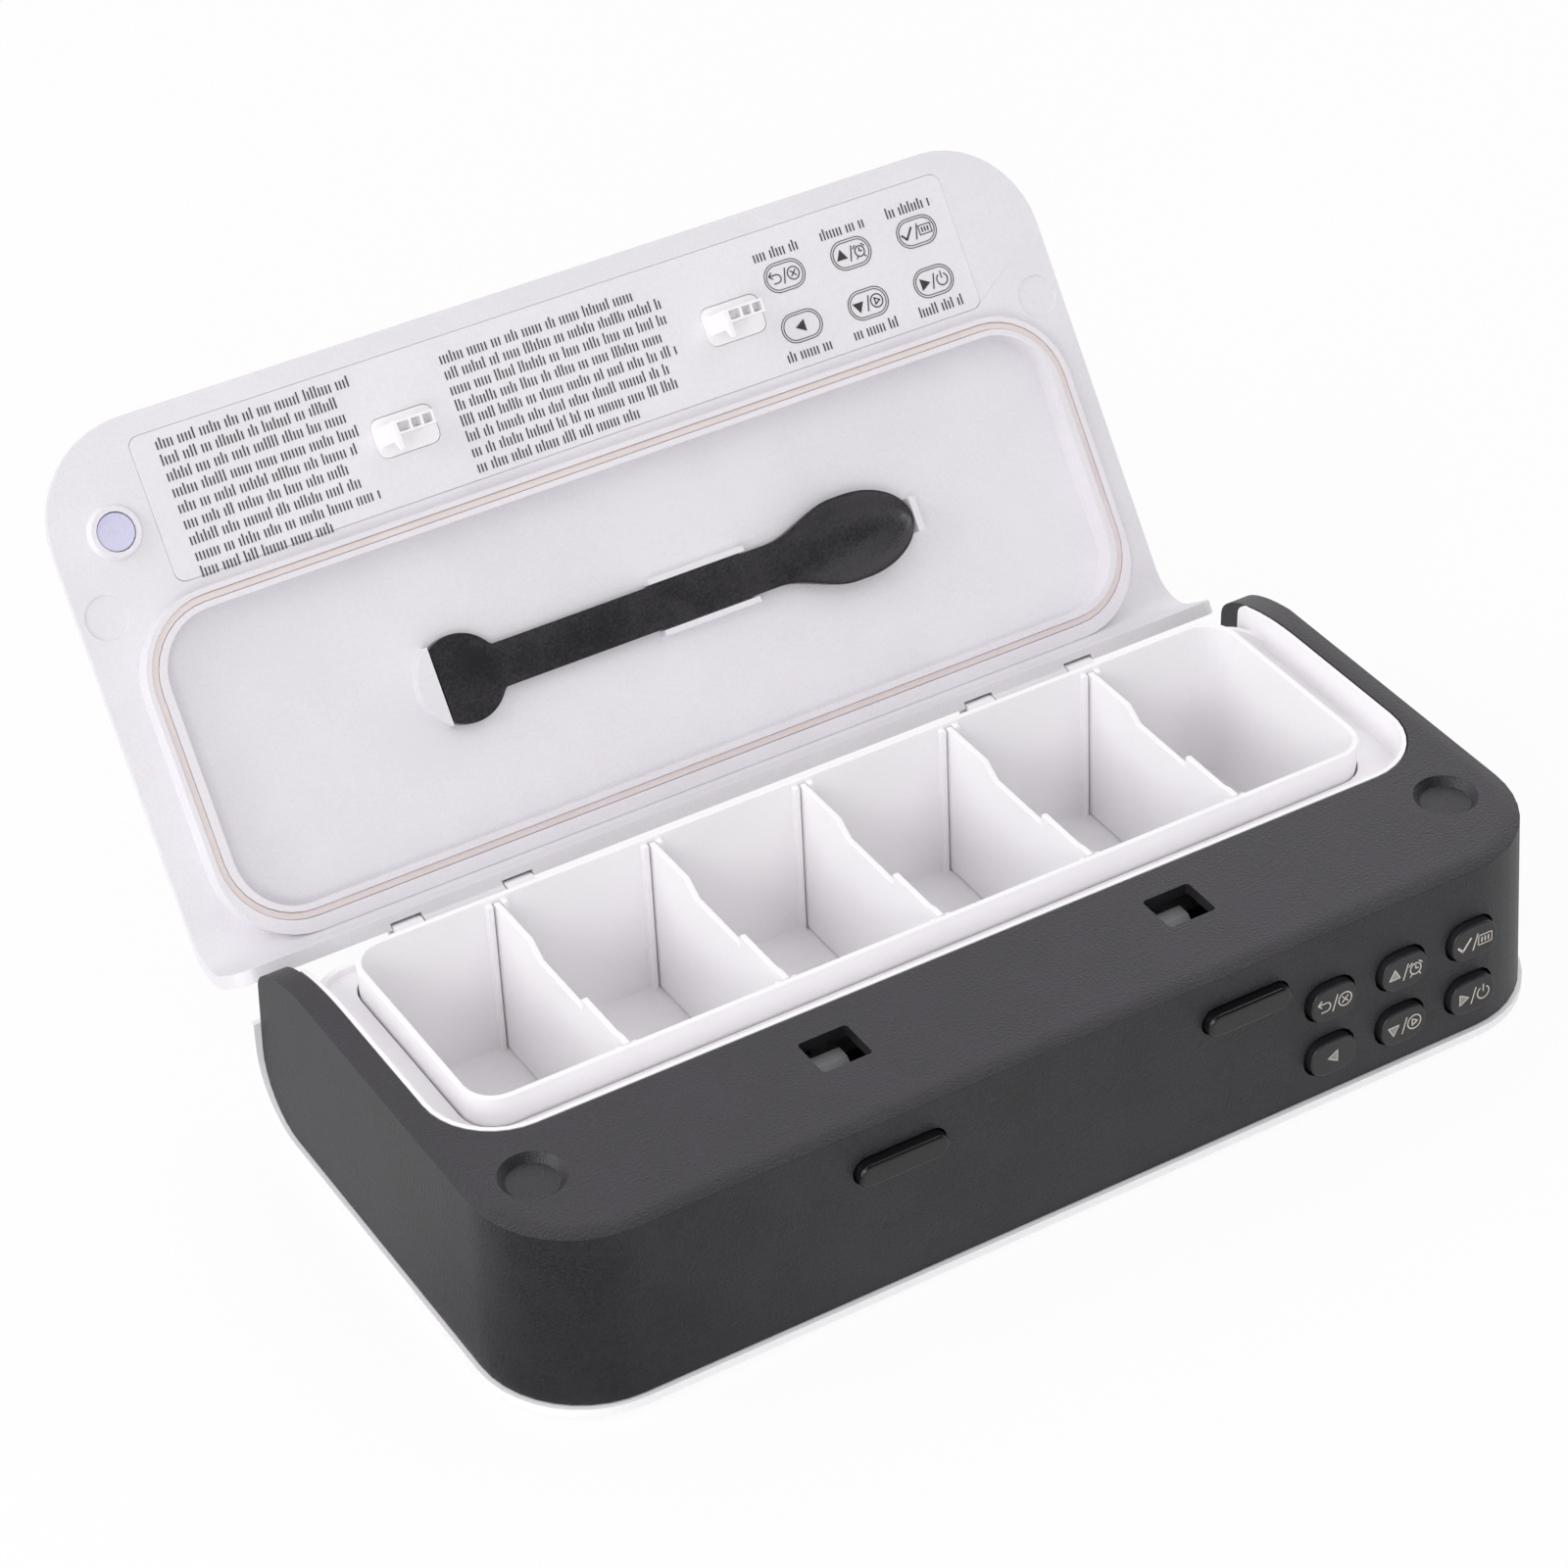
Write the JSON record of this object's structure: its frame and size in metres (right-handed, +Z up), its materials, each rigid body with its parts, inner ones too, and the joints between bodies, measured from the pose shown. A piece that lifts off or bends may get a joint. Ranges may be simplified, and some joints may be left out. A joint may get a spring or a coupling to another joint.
{
  "type": "electronic pill box",
  "caption": "Free-standing electronic pill box: hinged lid with stored spoon, lift-out divided tray, front keys and latch buttons.",
  "frame": {"origin": "centre of the case's flat underside; the rubber feet stand 0.8 mm below it", "axes": "+X to the object's right along the hinge, +Y to the rear, +Z up; the front with the keys faces -Y"},
  "size_m": [0.2238, 0.1942, 0.1003],
  "materials": {
    "charcoal_plastic": "fine grained matte",
    "white_plastic": "satin moulded",
    "gloss_black": "polished",
    "key_black": "satin with printed marks",
    "grey_plastic": "satin",
    "lavender_plastic": "satin",
    "silicone": "soft matte",
    "label_film": "thin clear film",
    "steel": "bright",
    "board_laminate": "solder mask",
    "battery_pouch": "foil",
    "black_component": "moulded",
    "foot_rubber": "matte"
  },
  "bodies": {
    "case": {"base_plate": "white_plastic", "body_shell": "charcoal_plastic", "well_liner": "white_plastic", "key_board": "board_laminate", "main_board": "board_laminate", "charge_board": "board_laminate", "tact_switch_return": "black_component", "tact_switch_up": "black_component", "tact_switch_ok": "black_component", "tact_switch_left": "black_component", "tact_switch_down": "black_component", "tact_switch_right": "black_component", "board_screw_1": "steel", "board_screw_2": "steel", "board_screw_3": "steel", "board_screw_4": "steel", "display_module": "black_component", "buzzer": "black_component", "battery": "battery_pouch", "lid_sensor": "black_component", "usb_port": "steel", "latch_spring_left": "steel", "latch_spring_right": "steel", "hinge_pin_left": "steel", "hinge_pin_right": "steel", "case_screw_1": "steel", "case_screw_2": "steel", "case_screw_3": "steel", "case_screw_4": "steel", "foot_front_left": "foot_rubber", "foot_front_right": "foot_rubber", "foot_rear_left": "foot_rubber", "foot_rear_right": "foot_rubber"},
    "lid": {"lid_shell": "white_plastic", "lid_seal": "silicone", "label_film": "label_film", "lid_magnet": "lavender_plastic", "latch_hook_left": "white_plastic", "latch_hook_right": "white_plastic"},
    "stored_spoon": {"spoon": "charcoal_plastic"},
    "tray": {"pill_tray": "white_plastic"},
    "tray_divider_1": {"divider_1": "white_plastic"},
    "tray_divider_2": {"divider_2": "white_plastic"},
    "tray_divider_3": {"divider_3": "white_plastic"},
    "tray_divider_4": {"divider_4": "white_plastic"},
    "tray_divider_5": {"divider_5": "white_plastic"},
    "latch_left": {"latch_button_left": "gloss_black", "latch_catch_left": "grey_plastic"},
    "latch_right": {"latch_button_right": "gloss_black", "latch_catch_right": "grey_plastic"},
    "return_key": {"key_return": "key_black"},
    "up_key": {"key_up": "key_black"},
    "ok_key": {"key_ok": "key_black"},
    "left_key": {"key_left": "key_black"},
    "down_key": {"key_down": "key_black"},
    "right_key": {"key_right": "key_black"}
  },
  "joints": [
    {"name": "lid_hinge", "type": "hinge", "parent": "case", "child": "lid", "pos_m": [0, 0.0584, 0.0225], "axis": [-1, 0, 0], "range_deg": [-126.7, 0]},
    {"name": "spoon_release", "type": "slide", "parent": "lid", "child": "stored_spoon", "axis": [0, -0.8018, 0.5976], "range_m": [0, 0.03]},
    {"name": "tray_lift", "type": "slide", "parent": "case", "child": "tray", "axis": [0, 0, 1], "range_m": [0, 0.045]},
    {"name": "divider_1_lift", "type": "slide", "parent": "tray", "child": "tray_divider_1", "axis": [0, 0, 1], "range_m": [0, 0.038]},
    {"name": "divider_2_lift", "type": "slide", "parent": "tray", "child": "tray_divider_2", "axis": [0, 0, 1], "range_m": [0, 0.038]},
    {"name": "divider_3_lift", "type": "slide", "parent": "tray", "child": "tray_divider_3", "axis": [0, 0, 1], "range_m": [0, 0.038]},
    {"name": "divider_4_lift", "type": "slide", "parent": "tray", "child": "tray_divider_4", "axis": [0, 0, 1], "range_m": [0, 0.038]},
    {"name": "divider_5_lift", "type": "slide", "parent": "tray", "child": "tray_divider_5", "axis": [0, 0, 1], "range_m": [0, 0.038]},
    {"name": "latch_left_press", "type": "slide", "parent": "case", "child": "latch_left", "axis": [0, 1, 0], "range_m": [0, 0.0022], "stiffness_N_per_m": 600, "springref_m": -0.001, "deforming": ["latch_spring_left"]},
    {"name": "latch_right_press", "type": "slide", "parent": "case", "child": "latch_right", "axis": [0, 1, 0], "range_m": [0, 0.0022], "stiffness_N_per_m": 600, "springref_m": -0.001, "deforming": ["latch_spring_right"]},
    {"name": "key_return_press", "type": "slide", "parent": "case", "child": "return_key", "axis": [0, 0.9982, -0.0594], "range_m": [0, 0.0005], "stiffness_N_per_m": 1500, "springref_m": -0.0003},
    {"name": "key_up_press", "type": "slide", "parent": "case", "child": "up_key", "axis": [0, 0.9982, -0.0594], "range_m": [0, 0.0005], "stiffness_N_per_m": 1500, "springref_m": -0.0003},
    {"name": "key_ok_press", "type": "slide", "parent": "case", "child": "ok_key", "axis": [0, 0.9982, -0.0594], "range_m": [0, 0.0005], "stiffness_N_per_m": 1500, "springref_m": -0.0003},
    {"name": "key_left_press", "type": "slide", "parent": "case", "child": "left_key", "axis": [0, 0.9982, -0.0594], "range_m": [0, 0.0005], "stiffness_N_per_m": 1500, "springref_m": -0.0003},
    {"name": "key_down_press", "type": "slide", "parent": "case", "child": "down_key", "axis": [0, 0.9982, -0.0594], "range_m": [0, 0.0005], "stiffness_N_per_m": 1500, "springref_m": -0.0003},
    {"name": "key_right_press", "type": "slide", "parent": "case", "child": "right_key", "axis": [0, 0.9982, -0.0594], "range_m": [0, 0.0005], "stiffness_N_per_m": 1500, "springref_m": -0.0003}
  ]
}
